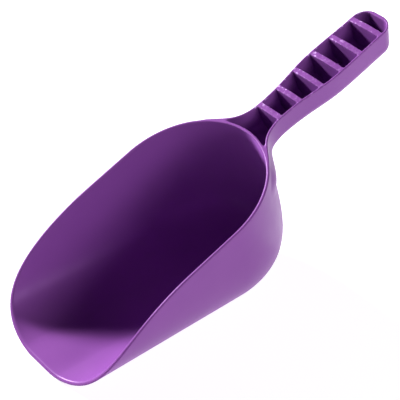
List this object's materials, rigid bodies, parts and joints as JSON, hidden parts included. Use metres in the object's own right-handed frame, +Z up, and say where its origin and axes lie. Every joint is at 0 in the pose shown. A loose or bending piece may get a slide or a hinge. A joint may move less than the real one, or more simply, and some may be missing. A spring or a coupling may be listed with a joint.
{
  "type": "feed scoop",
  "caption": "Deep trough-shaped plastic feed scoop with a rounded pouring lip, a round back and a hollow, cross-ribbed handle that slopes up behind the bowl.",
  "frame": {"origin": "on the plane of the flat foot, under the middle of the whole scoop's length and width", "axes": "+X from the pouring lip towards the end of the handle, +Y to the left, +Z up"},
  "size_m": [0.3664, 0.1366, 0.1783],
  "materials": {
    "scoop_plastic": "satin moulded polypropylene, purple, smooth with a soft sheen"
  },
  "bodies": {
    "root": {"bowl": "scoop_plastic", "neck_left_wall": "scoop_plastic", "neck_right_wall": "scoop_plastic", "neck_floor": "scoop_plastic", "handle_left_wall": "scoop_plastic", "handle_right_wall": "scoop_plastic", "handle_floor": "scoop_plastic", "handle_end": "scoop_plastic", "grip_rib_1": "scoop_plastic", "grip_rib_2": "scoop_plastic", "grip_rib_3": "scoop_plastic", "grip_rib_4": "scoop_plastic", "grip_rib_5": "scoop_plastic", "grip_rib_6": "scoop_plastic"}
  },
  "joints": []
}
